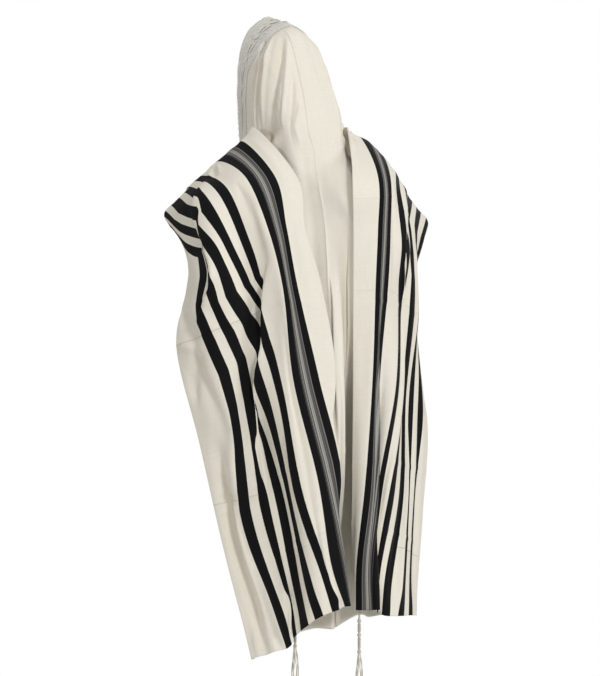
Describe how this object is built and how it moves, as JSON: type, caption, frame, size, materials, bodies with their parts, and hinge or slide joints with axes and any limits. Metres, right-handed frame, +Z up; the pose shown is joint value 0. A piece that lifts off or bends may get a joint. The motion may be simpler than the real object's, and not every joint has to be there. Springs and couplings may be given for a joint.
{
  "type": "tallit prayer shawl",
  "caption": "Wool prayer shawl worn over the head, lace neckband along the face edge, both black-striped ends thrown back over the shoulders, knotted corner tassels.",
  "frame": {"origin": "underside of the crown of the hood, where the wearer's head holds the shawl up", "axes": "+Z up along the wearer, front of the garment towards -Y, wearer's left towards +X"},
  "size_m": [0.6296, 0.4286, 1.6065],
  "materials": {
    "wool": "fine cream wool with woven black stripes, soft matt",
    "lace": "white net with white embroidered sprigs",
    "thread": "twisted off-white wool thread"
  },
  "bodies": {
    "root": {"hood": "wool", "neckband_lace": "lace", "back_stretch": "wool", "left_under": "wool", "left_end": "wool", "left_sleeve": "wool", "left_lap": "wool", "right_under": "wool", "right_end": "wool", "right_sleeve": "wool", "right_lap": "wool", "left_back_tassel": "thread", "left_front_tassel": "thread", "right_back_tassel": "thread", "right_front_tassel": "thread"}
  },
  "joints": []
}
